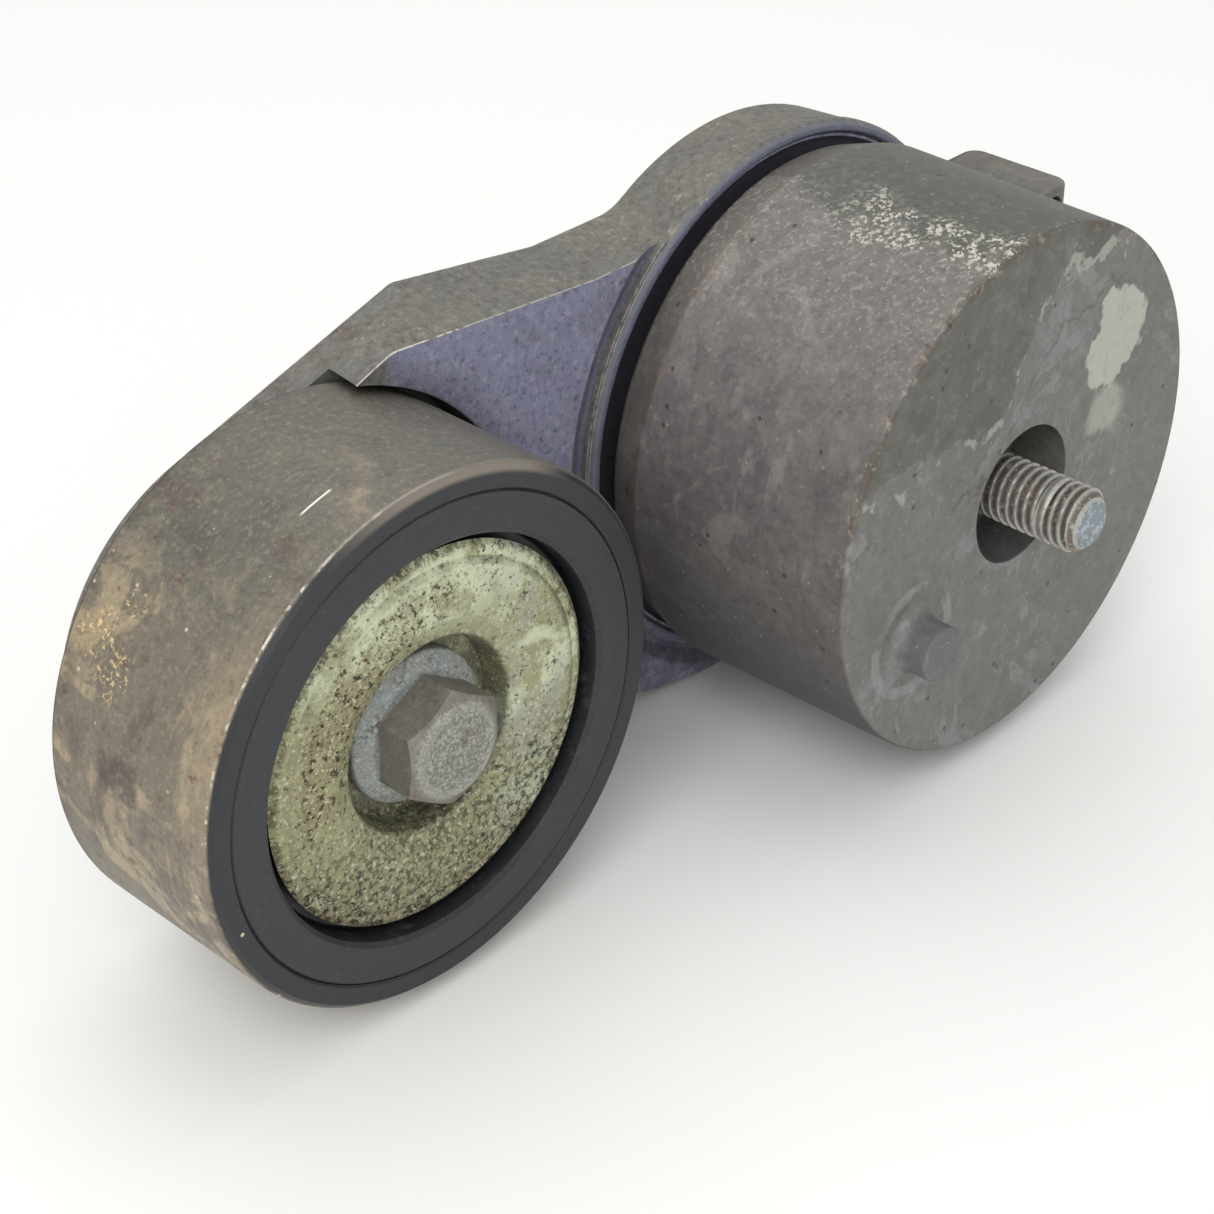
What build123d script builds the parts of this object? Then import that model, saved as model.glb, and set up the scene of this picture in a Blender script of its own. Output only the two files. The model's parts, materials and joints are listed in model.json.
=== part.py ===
"""Automatic belt tensioner with a smooth idler pulley, built as separate pieces.

Frame: the origin is the centre of the mounting face, on the pivot axis.  The mounting face looks
along -Y, the arm is at the +Y end, the pulley hangs on the -X side and +Z is up.  Millimetres.
"""
import os
from math import acos, atan2, cos, hypot, radians, sin, sqrt, tan

from build123d import *

os.makedirs("parts", exist_ok=True)

# ---- spring case -------------------------------------------------------------------------------
FACE_R = 40.6            # radius at the mounting face
CASE_R = 41.2            # largest radius, at the rear shoulder
SHOULDER_Y = 37.8        # where the rear taper starts
CASE_Y = 43.9            # rear edge of the case
CASE_EDGE_R = 39.3       # radius of the rear edge
CAVITY_R = 35.6          # spring chamber
FLOOR_Y = 7.0            # inner face of the mounting wall
MOUTH_R = 10.7           # hole in the mounting face
MOUTH_Y = 9.5            # depth of that hole
TOWER_R, TOWER_Y = 14.0, 22.0

PEG_X, PEG_Z = -24.3, -13.35     # anti-rotation peg on the mounting face
PEG_R, PEG_L = 4.2, 5.7
PEG_FLARE_R = 7.4

EAR_X, EAR_TOP, EAR_DROP = 43.6, 27.0, 10.0      # ear for the locking pin, on the case's side
EAR_Y0, EAR_Y1 = 25.0, 44.0
EAR_HOLE_X, EAR_HOLE_Z, EAR_HOLE_R = 39.3, 23.8, 1.9

# ---- pivot -------------------------------------------------------------------------------------
TUBE_R, TUBE_BORE_R = 9.0, 5.5
TUBE_STEP_R, TUBE_STEP_Y, TUBE_Y = 7.5, 52.2, 55.0
BUSH_R = 11.0
BUSH_Y0, BUSH_Y1 = 24.6, 50.8
PLATE_R, PLATE_T = 17.5, 2.3
RUN = 0.05               # radial running clearance
SLIP = 0.02              # radial gap of a fixed fit

# ---- arm ---------------------------------------------------------------------------------------
PULLEY_X, PULLEY_Z = -94.8, -3.7
ARM_Y0, ARM_Y1 = 46.0, 59.8
HUB_R_FRONT, HUB_R_BACK = 42.3, 41.5
BOSS_R = 31.5
HUB_FLOOR_Y = 47.0
SLEEVE_R, SLEEVE_Y0 = 16.0, 24.6
REAR_RECESS_R, REAR_RECESS_Y = 20.0, 51.0
SPIGOT_R, SPIGOT_BORE_R, SPIGOT_Y0 = 34.0, 31.2, 38.4
POCKET_R, POCKET_Y = 39.2, 52.9
PAD_R = 13.0
TRAVEL = 45.0            # degrees of arm travel
ARM_TOP_FRONT = [(-40.0, 33.1), (-77.6, 36.2)]      # X, Z corners of the web's top edge, at its front
ARM_TOP_BACK = [(-40.0, 34.6), (-63.7, 38.7)]       # and at its back
ARM_LOBE = [(-14.5, -44.5), (-29.0, -41.6), (-50.0, -34.4)]       # X, Z corners of the belly
LOBE_BLENDS = (24.0, 14.0, 20.0)
NECK_BLEND, TOP_BLEND, BACK_EDGE = 9.0, 5.0, 2.2
LOW_X = 9.0              # where the belly leaves the boss, towards the hub from the pulley's axis
HUB_RECESS_R = 40.0
HUB_CREST = [(39.9, 46.7), (40.4, 46.0), (41.0, 45.3, 0.5), (41.9, 45.3, 0.4), (42.5, 46.3)]
HUB_GROOVE = [(42.6, 47.2), (43.6, 47.3, 0.8)]      # (radius, y, rounding) of the groove's floor
GROOVE_R = 46.0          # outer radius of that groove
LIGHTENING = [(-27.0, 21.0), (-52.0, 25.0), (-52.0, -23.0), (-27.0, -25.0)]
LIGHTENING_R, LIGHTENING_DEPTH = 5.0, 4.5
DAMPER_R = 34.7          # between the damper's spring and its band

STOP_AT, STOP_WIDE = 250.0, 14.0         # fixed stop inside the case, degrees in the XZ plane
STOP_PLAY = 0.6                          # degrees left at each end

# ---- torsion spring ----------------------------------------------------------------------------
COIL_R, WIRE_R = 27.0, 2.75
COIL_PITCH, COIL_TURNS = 6.3, 4.6
COIL_Y0 = 10.1
FOOT_L = 6.0             # length of the blocks the wire's ends push on

# ---- pulley and bearing ------------------------------------------------------------------------
PULLEY_R = 38.0
PULLEY_Y0, PULLEY_Y1 = 20.55, 51.9
RIM_BORE_R = 34.4
INSERT_Y0, INSERT_Y1 = 20.7, 51.5
RECESS_R, RECESS_Y = 28.5, 25.2
SHOULDER_R = 24.4
BEARING_Y0, BEARING_Y1 = 28.4, 49.0
BEARING_R, BEARING_BORE_R = 26.0, 10.0
INNER_RACE_R, OUTER_RACE_R = 15.4, 21.1
BALL_PITCH_R, BALL_R, BALLS = 18.25, 3.57, 12
RACE_GROOVE_R = 3.62
ROW_Y = (34.0, 43.4)
CAGE_WIDE = 8.6
CAGE_IN_R, CAGE_OUT_R = 16.9, 19.6
SEAL_SEAT_R, SEAL_SEAT_L = 21.8, 1.2     # step in the outer ring that holds each seal
SEAL_T = 0.9
SNAP_T = 1.4
SNAP_GROOVE_R = 27.3
REAR_GROOVE = [(32.4, 51.5), (31.9, 39.0, 1.0), (29.9, 39.0, 1.0), (29.4, 51.5)]
SHEET = 0.8              # thickness of the pressed shields

# ---- M10 flange bolts --------------------------------------------------------------------------
BOLT_R = 4.98
PITCH = 1.5
HEX_AF, HEX_FACE_R, HEAD_H = 15.0, 6.3, 9.7
FLANGE_R, FLANGE_T, FLANGE_CONE = 10.9, 1.6, 1.2
PULLEY_BOLT_SEAT_Y, PULLEY_BOLT_END_Y = 27.6, 57.8
MOUNT_BOLT_TIP_Y = -12.4
TIP_R = 3.35             # flat face at the mounting bolt's tip
MOUNT_THREAD_Y1 = 17.5
SHANK_R = 4.5            # plain shank, at the thread's pitch radius
PULLEY_HEX_TURN, MOUNT_HEX_TURN = 27.0, 12.0       # degrees each hexagon is turned on its axis
THREAD_DEPTH = 0.61 * PITCH

made = {}


def turned(points):
    """Solid of revolution about Y from (radius, y) or (radius, y, rounding) corners."""
    face = make_face(Polyline(*[p[:2] for p in points], close=True))
    for p in points:
        if len(p) == 3:
            corner = min(face.vertices(), key=lambda v: hypot(v.X - p[0], v.Y - p[1]))
            face = fillet(corner, p[2])
    return revolve(face, Axis.Y)


def ring(r_in, r_out, y0, y1):
    """Plain ring, or a disc where r_in is 0."""
    return turned([(r_in, y0), (r_out, y0), (r_out, y1), (r_in, y1)])


def flat(y):
    """Sketch plane at a height y whose own x and y are the frame's X and Z."""
    return Plane.XZ.offset(-y)


def raised(sketch, y0, y1):
    """A sketch in X and Z, extruded from y0 to y1."""
    return extrude(flat(y0) * sketch, -(y1 - y0))


def sector(mid, wide, r_in, r_out, y0, y1):
    """Block between two radii over an angle, in degrees in the XZ plane."""
    a0, a1 = radians(mid - wide / 2), radians(mid + wide / 2)
    reach = r_out / cos(radians(wide / 2)) + 1
    wedge = make_face(Polyline((0, 0), (reach * cos(a0), reach * sin(a0)),
                               (reach * cos(a1), reach * sin(a1)), close=True))
    return raised(wedge, y0, y1) & ring(r_in, r_out, y0, y1)


def tangent_point(centre, radius, point, side):
    """Where a line from point touches a circle; side is +1 or -1."""
    dx, dz = point[0] - centre[0], point[1] - centre[1]
    turn = atan2(dz, dx) + side * acos(radius / hypot(dx, dz))
    return centre[0] + radius * cos(turn), centre[1] + radius * sin(turn)


def on_pulley(shape):
    return Pos(PULLEY_X, 0, PULLEY_Z) * shape


def pressed_sheet(points, rounding):
    """Thin pressed dish: the (radius, y) mid line, given the sheet's thickness and turned."""
    line = FilletPolyline(*points, radius=rounding)
    return revolve(trace(line, SHEET), Axis.Y)


def coil_path():
    """Centre line of the torsion spring's wire, left-handed so that the loaded arm presses on its end."""
    return Helix(COIL_PITCH, COIL_PITCH * COIL_TURNS, COIL_R, direction=(0, 1, 0),
                 center=(0, COIL_Y0, 0), lefthand=True)


# ---- the stationary pieces ---------------------------------------------------------------------
def spring_case():
    cup = turned([(MOUTH_R, 0), (FACE_R, 0, 0.8), (CASE_R, SHOULDER_Y), (CASE_EDGE_R, CASE_Y, 0.6),
                  (CAVITY_R, CASE_Y), (CAVITY_R, FLOOR_Y, 2.0), (TOWER_R, FLOOR_Y), (TOWER_R, TOWER_Y),
                  (TUBE_R + SLIP, TOWER_Y), (TUBE_R + SLIP, MOUTH_Y), (MOUTH_R, MOUTH_Y)])
    flare = PEG_FLARE_R - PEG_R
    peg = turned([(0, 1), (PEG_FLARE_R, 1), (PEG_FLARE_R, 0), (PEG_R, 0, flare * 0.7),
                  (PEG_R, -PEG_L, 0.5), (0, -PEG_L)])
    cup += Pos(PEG_X, 0, PEG_Z) * peg
    ear = Pos(EAR_X / 2, (EAR_Y0 + EAR_Y1) / 2, EAR_TOP - EAR_DROP / 2) * Box(
        EAR_X, EAR_Y1 - EAR_Y0, EAR_DROP)
    tips = ear.edges().filter_by(Axis.Z).sort_by(Axis.X)[-2:]
    ear = fillet(tips, 2.6)
    ear = fillet(ear.faces().sort_by(Axis.Z)[-1].edges().filter_by(Axis.Z, reverse=True), 0.5)
    ear -= ring(0, CAVITY_R + 1, EAR_Y0 - 1, EAR_Y1 + 1)
    ear -= Pos(EAR_HOLE_X, 0, EAR_HOLE_Z) * ring(0, EAR_HOLE_R, EAR_Y0 - 1, EAR_Y1 + 1)
    cup += ear
    cup += sector(STOP_AT, STOP_WIDE, 32.0, CAVITY_R + 1, SPIGOT_Y0 - 0.4, CASE_Y)
    wire_end = coil_path() @ 0
    foot = Plane(origin=wire_end, x_dir=(0, 1, 0), z_dir=coil_path() % 0) * Pos(-1.0, 0, -FOOT_L / 2)
    return cup + foot * Box(7.0, 8.0, FOOT_L)


def pivot_tube():
    return turned([(TUBE_BORE_R, MOUTH_Y), (TUBE_R, MOUTH_Y), (TUBE_R, TUBE_STEP_Y),
                   (TUBE_STEP_R, TUBE_STEP_Y), (TUBE_STEP_R, TUBE_Y, 0.5), (TUBE_BORE_R, TUBE_Y)])


def end_plate():
    return turned([(TUBE_STEP_R + SLIP, TUBE_STEP_Y), (PLATE_R, TUBE_STEP_Y),
                   (PLATE_R, TUBE_STEP_Y + PLATE_T, 0.6), (TUBE_STEP_R + SLIP, TUBE_STEP_Y + PLATE_T)])


def torsion_spring():
    path = coil_path()
    section = Plane(origin=path @ 0, z_dir=path % 0) * Circle(WIRE_R)
    return sweep(section, path, is_frenet=True)


# ---- the swinging arm --------------------------------------------------------------------------
def arm_outline(y, hub_r, upper, lobe, draft):
    """Outline of the hub and web, with its blends; the web runs on to the pulley's axis."""
    pulley = (PULLEY_X, PULLEY_Z)
    top = tangent_point(pulley, BOSS_R, upper[-1], 1)
    under = tangent_point((0, 0), hub_r, lobe[0], 1)
    low = (PULLEY_X + LOW_X, PULLEY_Z - sqrt(BOSS_R ** 2 - LOW_X ** 2))
    belly = [(x, z - draft) for x, z in lobe]
    web = make_face(Polyline((0, upper[0][1]), *upper, top, pulley, low, *reversed(belly), under,
                             close=True))
    shape = Circle(hub_r) + web
    neck = (-sqrt(hub_r ** 2 - upper[0][1] ** 2), upper[0][1])
    blends = [(neck, NECK_BLEND), (upper[-1], TOP_BLEND)] + list(zip(belly, LOBE_BLENDS))
    for point, radius in blends:
        corner = min(shape.vertices(), key=lambda v: hypot(v.X - point[0], v.Y - point[1]))
        shape = fillet(corner, radius)
    return flat(y) * shape


def tensioner_arm():
    front = arm_outline(ARM_Y0, HUB_R_FRONT, ARM_TOP_FRONT, ARM_LOBE, 0.0)
    back = arm_outline(ARM_Y1, HUB_R_BACK, ARM_TOP_BACK, ARM_LOBE, -0.4)
    body = loft([front.faces()[0], back.faces()[0]], ruled=True)
    body += on_pulley(ring(0, BOSS_R, ARM_Y0, ARM_Y1))
    body = fillet(body.faces().sort_by(Axis.Y)[-1].edges(), BACK_EDGE)

    root = HUB_FLOOR_Y + 0.5
    body -= ring(0, HUB_RECESS_R, ARM_Y0 - 1, HUB_FLOOR_Y)
    body += turned([(HUB_CREST[0][0], root), *HUB_CREST, (HUB_CREST[-1][0], root)])
    body -= turned([(HUB_GROOVE[0][0], ARM_Y0 - 1.5), *HUB_GROOVE, (GROOVE_R, ARM_Y0),
                    (GROOVE_R, ARM_Y0 - 1.5)])

    body -= on_pulley(ring(0, POCKET_R, ARM_Y0 - 1, POCKET_Y))
    body += on_pulley(turned([(0, BEARING_Y1 + SHEET), (PAD_R, BEARING_Y1 + SHEET),
                              (PAD_R + 1.5, POCKET_Y), (PAD_R + 1.5, POCKET_Y + 1), (0, POCKET_Y + 1)]))
    body -= on_pulley(ring(0, BOLT_R + SLIP, BEARING_Y1, ARM_Y1 + 1))

    body += ring(BUSH_R, SLEEVE_R, SLEEVE_Y0, HUB_FLOOR_Y + 1)
    body -= ring(0, REAR_RECESS_R, REAR_RECESS_Y, ARM_Y1 + 1)
    body -= ring(0, BUSH_R + SLIP, SLEEVE_Y0 - 1, ARM_Y1 + 1)
    body += ring(SPIGOT_BORE_R, SPIGOT_R, SPIGOT_Y0, HUB_FLOOR_Y + 1)
    notch = STOP_WIDE + TRAVEL + 2 * STOP_PLAY
    body -= sector(STOP_AT + TRAVEL / 2, notch, 31.0, 38.0, SPIGOT_Y0 - 1, HUB_FLOOR_Y)

    lug = Plane(origin=coil_path() @ 1, x_dir=(0, 1, 0), z_dir=coil_path() % 1)
    body += lug * Pos(2.8, 0, FOOT_L / 2) * Box(11.0, 7.0, FOOT_L)

    lightening = make_face(Polyline(*LIGHTENING, close=True))
    lightening = fillet(lightening.vertices(), LIGHTENING_R)
    return body - raised(lightening, ARM_Y1 - LIGHTENING_DEPTH, ARM_Y1 + 1)


def split_band(r_in, r_out, y0, y1):
    """Band that leaves the stop's travel open."""
    gap = STOP_WIDE + TRAVEL + 12
    return ring(r_in, r_out, y0, y1) - sector(STOP_AT + TRAVEL / 2, gap, r_in - 1, r_out + 1, y0, y1)


def head(rotation):
    """M10 flange head with its seat at y=0, standing towards -Y."""
    side = HEX_AF / sqrt(3)
    hexagon = raised(Rot(0, 0, rotation) * RegularPolygon(side, 6), -HEAD_H, -FLANGE_T)
    drop = (side - HEX_FACE_R) * tan(radians(30))
    crown = turned([(0, -HEAD_H), (HEX_FACE_R, -HEAD_H), (side + 0.2, -HEAD_H + drop + 0.1),
                    (side + 0.2, 0), (0, 0)])
    flange = turned([(0, 0), (FLANGE_R - 0.3, 0), (FLANGE_R, -0.4), (FLANGE_R, -FLANGE_T, 0.5),
                     (side - 0.4, -FLANGE_T - FLANGE_CONE), (0, -FLANGE_T - FLANGE_CONE)])
    return (hexagon & crown) + flange


def threaded_profile(y0, y1, direction):
    """(radius, y) corners of ring grooves at the thread's pitch, from y0 to y1."""
    corners = []
    for k in range(int(abs(y1 - y0) / PITCH)):
        y = y0 + direction * k * PITCH
        corners += [(BOLT_R - THREAD_DEPTH, y), (BOLT_R, y + direction * 0.44 * PITCH),
                    (BOLT_R, y + direction * 0.56 * PITCH)]
    return corners


def pulley_bolt():
    length = PULLEY_BOLT_END_Y - PULLEY_BOLT_SEAT_Y
    root = BOLT_R - THREAD_DEPTH
    shank_end = length - 8 * PITCH
    profile = [(0, 0), (BOLT_R, 0), (BOLT_R, shank_end - 0.6)]
    profile += threaded_profile(shank_end, length - 0.2, 1)
    profile += [(root, length - 0.1), (root - 0.2, length), (0, length)]
    return on_pulley(Pos(0, PULLEY_BOLT_SEAT_Y, 0) * (turned(profile) + head(PULLEY_HEX_TURN)))


def mounting_bolt():
    """Thread at its crest diameter, with one valley that ends the stretch outside the case."""
    root = BOLT_R - THREAD_DEPTH
    shank = turned([(0, MOUNT_BOLT_TIP_Y), (TIP_R, MOUNT_BOLT_TIP_Y),
                    (BOLT_R, MOUNT_BOLT_TIP_Y + BOLT_R - TIP_R), (BOLT_R, 0), (root, 0.5),
                    (root, PITCH - 0.5), (BOLT_R, PITCH), (BOLT_R, MOUNT_THREAD_Y1),
                    (SHANK_R, MOUNT_THREAD_Y1 + 1), (SHANK_R, TUBE_Y + 0.5), (0, TUBE_Y + 0.5)])
    return shank + Pos(0, TUBE_Y, 0) * Rot(0, 0, 180) * head(MOUNT_HEX_TURN)


# ---- the pulley and its bearing ----------------------------------------------------------------
def pulley_rim():
    return on_pulley(turned([(RIM_BORE_R + SLIP, PULLEY_Y0 + 0.3), (RIM_BORE_R + 0.3, PULLEY_Y0),
                             (PULLEY_R - 0.9, PULLEY_Y0), (PULLEY_R, PULLEY_Y0 + 0.9, 0.3),
                             (PULLEY_R, PULLEY_Y1 - 0.9), (PULLEY_R - 0.9, PULLEY_Y1),
                             (RIM_BORE_R + SLIP, PULLEY_Y1)]))


def pulley_insert():
    snap_y0, snap_y1 = BEARING_Y1 + 0.05, BEARING_Y1 + 0.15 + SNAP_T
    return on_pulley(turned([
        (RECESS_R + 0.6, INSERT_Y0), (RIM_BORE_R - 0.3, INSERT_Y0), (RIM_BORE_R, INSERT_Y0 + 0.3),
        (RIM_BORE_R, INSERT_Y1), *REAR_GROOVE, (BEARING_R + 0.4, INSERT_Y1),
        (BEARING_R, INSERT_Y1 - 0.4), (BEARING_R, snap_y1), (SNAP_GROOVE_R, snap_y1),
        (SNAP_GROOVE_R, snap_y0), (BEARING_R + SLIP, snap_y0),
        (BEARING_R + SLIP, BEARING_Y0), (SHOULDER_R, BEARING_Y0), (SHOULDER_R, RECESS_Y),
        (RECESS_R - 0.3, RECESS_Y, 0.5), (RECESS_R, INSERT_Y0 + 0.6)]))


def snap_ring():
    y0 = BEARING_Y1 + 0.1
    gap = sector(200, 22, 23.0, 28.0, y0, y0 + SNAP_T)
    return on_pulley(ring(24.2, 27.2, y0, y0 + SNAP_T) - gap)


def race(points):
    ring_blank = turned(points)
    for y in ROW_Y:
        ring_blank -= Pos(0, y, 0) * Rot(90, 0, 0) * Torus(BALL_PITCH_R, RACE_GROOVE_R)
    return on_pulley(ring_blank)


def bearing_inner_ring():
    return race([(BEARING_BORE_R, BEARING_Y0), (INNER_RACE_R, BEARING_Y0), (INNER_RACE_R, BEARING_Y1),
                 (BEARING_BORE_R, BEARING_Y1)])


def bearing_outer_ring():
    y0, y1 = BEARING_Y0, BEARING_Y1
    return race([(SEAL_SEAT_R, y0), (BEARING_R - 0.6, y0), (BEARING_R, y0 + 0.6), (BEARING_R, y1 - 0.6),
                 (BEARING_R - 0.6, y1), (SEAL_SEAT_R, y1), (SEAL_SEAT_R, y1 - SEAL_SEAT_L),
                 (OUTER_RACE_R, y1 - SEAL_SEAT_L), (OUTER_RACE_R, y0 + SEAL_SEAT_L),
                 (SEAL_SEAT_R, y0 + SEAL_SEAT_L)])


def seal(y0):
    outer, lip = SEAL_SEAT_R - SLIP, INNER_RACE_R + 0.2
    return on_pulley(turned([(lip, y0 + 0.3), (INNER_RACE_R + 1.0, y0), (outer, y0),
                             (outer, y0 + SEAL_T), (lip, y0 + SEAL_T)]))


def around_row(y, shape):
    """Copies of a shape round the bearing, one for each ball of a row, each turned to face out."""
    turns = [360 * k / BALLS for k in range(BALLS)]
    return [Pos(PULLEY_X, y, PULLEY_Z) * Rot(0, turn, 0) * Pos(BALL_PITCH_R, 0, 0) * shape
            for turn in turns]


def cage(y):
    band = on_pulley(ring(CAGE_IN_R, CAGE_OUT_R, y - CAGE_WIDE / 2, y + CAGE_WIDE / 2))
    for pocket in around_row(y, Rot(0, 90, 0) * Cylinder(BALL_R + 0.15, 8)):
        band -= pocket
    return band


def bearing_spacer():
    return on_pulley(ring(BOLT_R + SLIP, BEARING_BORE_R - SLIP, BEARING_Y0, BEARING_Y1))


def dust_shield():
    floor = BEARING_Y0 - SHEET / 2
    return on_pulley(pressed_sheet([(26.8, 23.3), (26.1, 22.75), (24.9, 22.75), (24.3, 22.35),
                                    (17.2, 22.2), (14.2, 23.4), (13.6, floor), (BOLT_R + 0.4, floor)],
                                   0.5))


def rear_dust_shield():
    floor = BEARING_Y1 + SHEET / 2
    return on_pulley(pressed_sheet([(BOLT_R + 0.4, floor), (15.5, floor), (17.0, floor + 1.2),
                                    (23.4, floor + 1.2)], 0.5))


made["spring_case"] = spring_case()
made["pivot_tube"] = pivot_tube()
made["end_plate"] = end_plate()
made["torsion_spring"] = torsion_spring()

made["tensioner_arm"] = tensioner_arm()
made["pivot_bushing"] = ring(TUBE_R + RUN, BUSH_R, BUSH_Y0, BUSH_Y1)
made["thrust_washer"] = ring(TUBE_R + 0.3, PLATE_R, REAR_RECESS_Y, TUBE_STEP_Y - 0.1)
made["damper_spring"] = split_band(SPIGOT_R + SLIP, DAMPER_R, SPIGOT_Y0, CASE_Y - 0.5)
made["damper_band"] = split_band(DAMPER_R + SLIP, CAVITY_R - 0.08, SPIGOT_Y0, CASE_Y - 0.5)
made["pulley_bolt"] = pulley_bolt()
made["dust_shield"] = dust_shield()
made["bearing_spacer"] = bearing_spacer()
made["bearing_inner_ring"] = bearing_inner_ring()
made["rear_dust_shield"] = rear_dust_shield()

made["mounting_bolt"] = mounting_bolt()

made["pulley_rim"] = pulley_rim()
made["pulley_insert"] = pulley_insert()
made["bearing_outer_ring"] = bearing_outer_ring()
made["front_seal"] = seal(BEARING_Y0 + 0.2)
made["rear_seal"] = seal(BEARING_Y1 - 0.2 - SEAL_T)
made["snap_ring"] = snap_ring()

for end, row_y in zip(("front", "rear"), ROW_Y):
    made[end + "_balls"] = Compound(around_row(row_y, Sphere(BALL_R)))
    made[end + "_cage"] = cage(row_y)

for node, shape in made.items():
    export_step(shape, f"parts/{node}.step")
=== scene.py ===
"""Looks of a weathered belt tensioner with its idler pulley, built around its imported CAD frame.

Laid out as a Blender add-on: property groups hold the sizes and colours, one operator makes each
piece or finish, and a sidebar panel lists them.  Lengths in materials are in millimetres.
"""

import json
import math

import bmesh
import bpy
from bpy.props import FloatProperty, FloatVectorProperty, IntProperty, PointerProperty
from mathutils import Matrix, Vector


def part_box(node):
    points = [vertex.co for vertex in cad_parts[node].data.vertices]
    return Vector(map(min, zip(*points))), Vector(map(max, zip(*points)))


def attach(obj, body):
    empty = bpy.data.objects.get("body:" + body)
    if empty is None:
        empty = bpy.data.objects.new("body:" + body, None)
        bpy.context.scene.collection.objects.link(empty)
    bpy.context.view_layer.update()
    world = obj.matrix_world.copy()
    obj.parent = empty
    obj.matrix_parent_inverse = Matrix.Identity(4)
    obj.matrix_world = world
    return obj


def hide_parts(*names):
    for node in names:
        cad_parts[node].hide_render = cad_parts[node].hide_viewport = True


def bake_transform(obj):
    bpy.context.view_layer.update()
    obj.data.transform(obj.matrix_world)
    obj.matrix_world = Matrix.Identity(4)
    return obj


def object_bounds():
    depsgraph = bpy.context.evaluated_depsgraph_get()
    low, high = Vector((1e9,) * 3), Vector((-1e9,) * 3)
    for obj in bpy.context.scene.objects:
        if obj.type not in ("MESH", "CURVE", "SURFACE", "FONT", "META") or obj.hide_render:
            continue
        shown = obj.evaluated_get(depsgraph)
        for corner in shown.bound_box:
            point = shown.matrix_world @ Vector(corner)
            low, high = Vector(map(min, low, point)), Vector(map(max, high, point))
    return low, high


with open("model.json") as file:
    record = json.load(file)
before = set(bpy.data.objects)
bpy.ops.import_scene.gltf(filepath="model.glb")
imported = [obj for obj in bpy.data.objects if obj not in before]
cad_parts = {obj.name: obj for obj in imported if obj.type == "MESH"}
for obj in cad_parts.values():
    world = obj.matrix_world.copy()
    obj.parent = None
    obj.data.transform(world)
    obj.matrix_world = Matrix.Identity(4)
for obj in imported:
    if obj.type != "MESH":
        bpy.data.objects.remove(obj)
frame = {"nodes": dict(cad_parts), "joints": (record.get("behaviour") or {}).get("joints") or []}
CAD_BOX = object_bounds()

bl_info = {
    "name": "Belt tensioner looks",
    "version": (1, 0, 0),
    "blender": (4, 5, 0),
    "location": "3D View > Sidebar > Tensioner",
    "description": "Threads, materials and stage for a weathered belt tensioner",
    "category": "Object",
}

MM = 0.001
SHARP_ANGLE = math.radians(35)          # edges bent further than this stay sharp
JOINTS = {joint["name"]: joint for joint in frame["joints"]}
PULLEY_AXIS = tuple(c / MM for c in JOINTS["pulley_spin"]["pos_m"])      # mm
RIM_LOW, RIM_HIGH = (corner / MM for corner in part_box("pulley_rim"))
INSERT_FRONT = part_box("pulley_insert")[0].y / MM
BOLT_LOW, BOLT_HIGH = (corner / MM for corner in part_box("mounting_bolt"))
TREAD_R = (RIM_HIGH.x - RIM_LOW.x) / 2
FACE_R = 40.6            # case radius at its mounting face
CASE_SHOULDER = 37.8     # height of the case's rear shoulder
ARM_FRONT = 46.0         # height of the arm's front face
POCKET_FLOOR = 52.9      # height of the floor of the arm's pocket for the pulley
PEG = (-24.3, 0.0, -13.35)              # axis of the locating peg, in x, y and z

# The mounting bolt, in millimetres
THREAD_DEPTH = 0.61      # share of the pitch
THREAD_ROWS = 320        # points along the thread
CREST_EDGE, ROOT_EDGE = 0.84, 0.12      # where a valley's flank starts and ends, over half a turn
LAND = (-7.2, -5.6)      # stretch where knocks have nearly filled the valleys
LAND_FILL = 0.75         # how far they are filled
SHANK_R, FLANGE_R = 4.5, 10.9
HEAD_H, HALF_FLATS = 9.7, 7.5
HEX_FACE_R, HEX_CROWN = 6.3, 1.4        # the head's flat end, and the fall to its corners
CROWN_ROWS = 10          # steps down that fall
CLOSED_R = 0.0005        # radius that stands for a closed end
SIXTH_TURN = math.pi / 3

# The stage, in metres from the part's origin; a light's place counts from MIDDLE
FLOOR_REACH = 4.0
MIDDLE = Vector((-0.045, 0.02, 0.0))
LIGHTS = (("key", (-0.55, -0.35, 0.60), 0.6, 1.0),      # name, place, size, share of the power
          ("top", (0.15, 0.25, 0.80), 0.8, 0.5))
CAMERA_AT = Vector((-0.2712, -0.1804, 0.1919))
CAMERA_AZIMUTH, CAMERA_ELEVATION = math.radians(-47.13), math.radians(34.09)
CAMERA_SENSOR, CAMERA_LENS = 36.0, 76.87                # mm
CAMERA_SHIFT = (-0.0427, 0.0287)


# ---- colours and nodes -------------------------------------------------------------------------
def linear(hex_colour):
    """sRGB hex, such as "8a8f80", to linear red, green, blue and alpha."""
    channels = [int(hex_colour[i:i + 2], 16) / 255 for i in (0, 2, 4)]
    return tuple(c / 12.92 if c <= 0.04045 else ((c + 0.055) / 1.055) ** 2.4
                 for c in channels) + (1.0,)


def add(tree, kind, inputs=None, **settings):
    """Adds one node with its settings; each input is a value or the socket that feeds it."""
    node = tree.nodes.new(kind)
    for name, value in settings.items():
        setattr(node, name, value)
    for name, value in (inputs or {}).items():
        if isinstance(value, bpy.types.NodeSocket):
            tree.links.new(value, node.inputs[name])
        else:
            node.inputs[name].default_value = value
    return node


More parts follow.
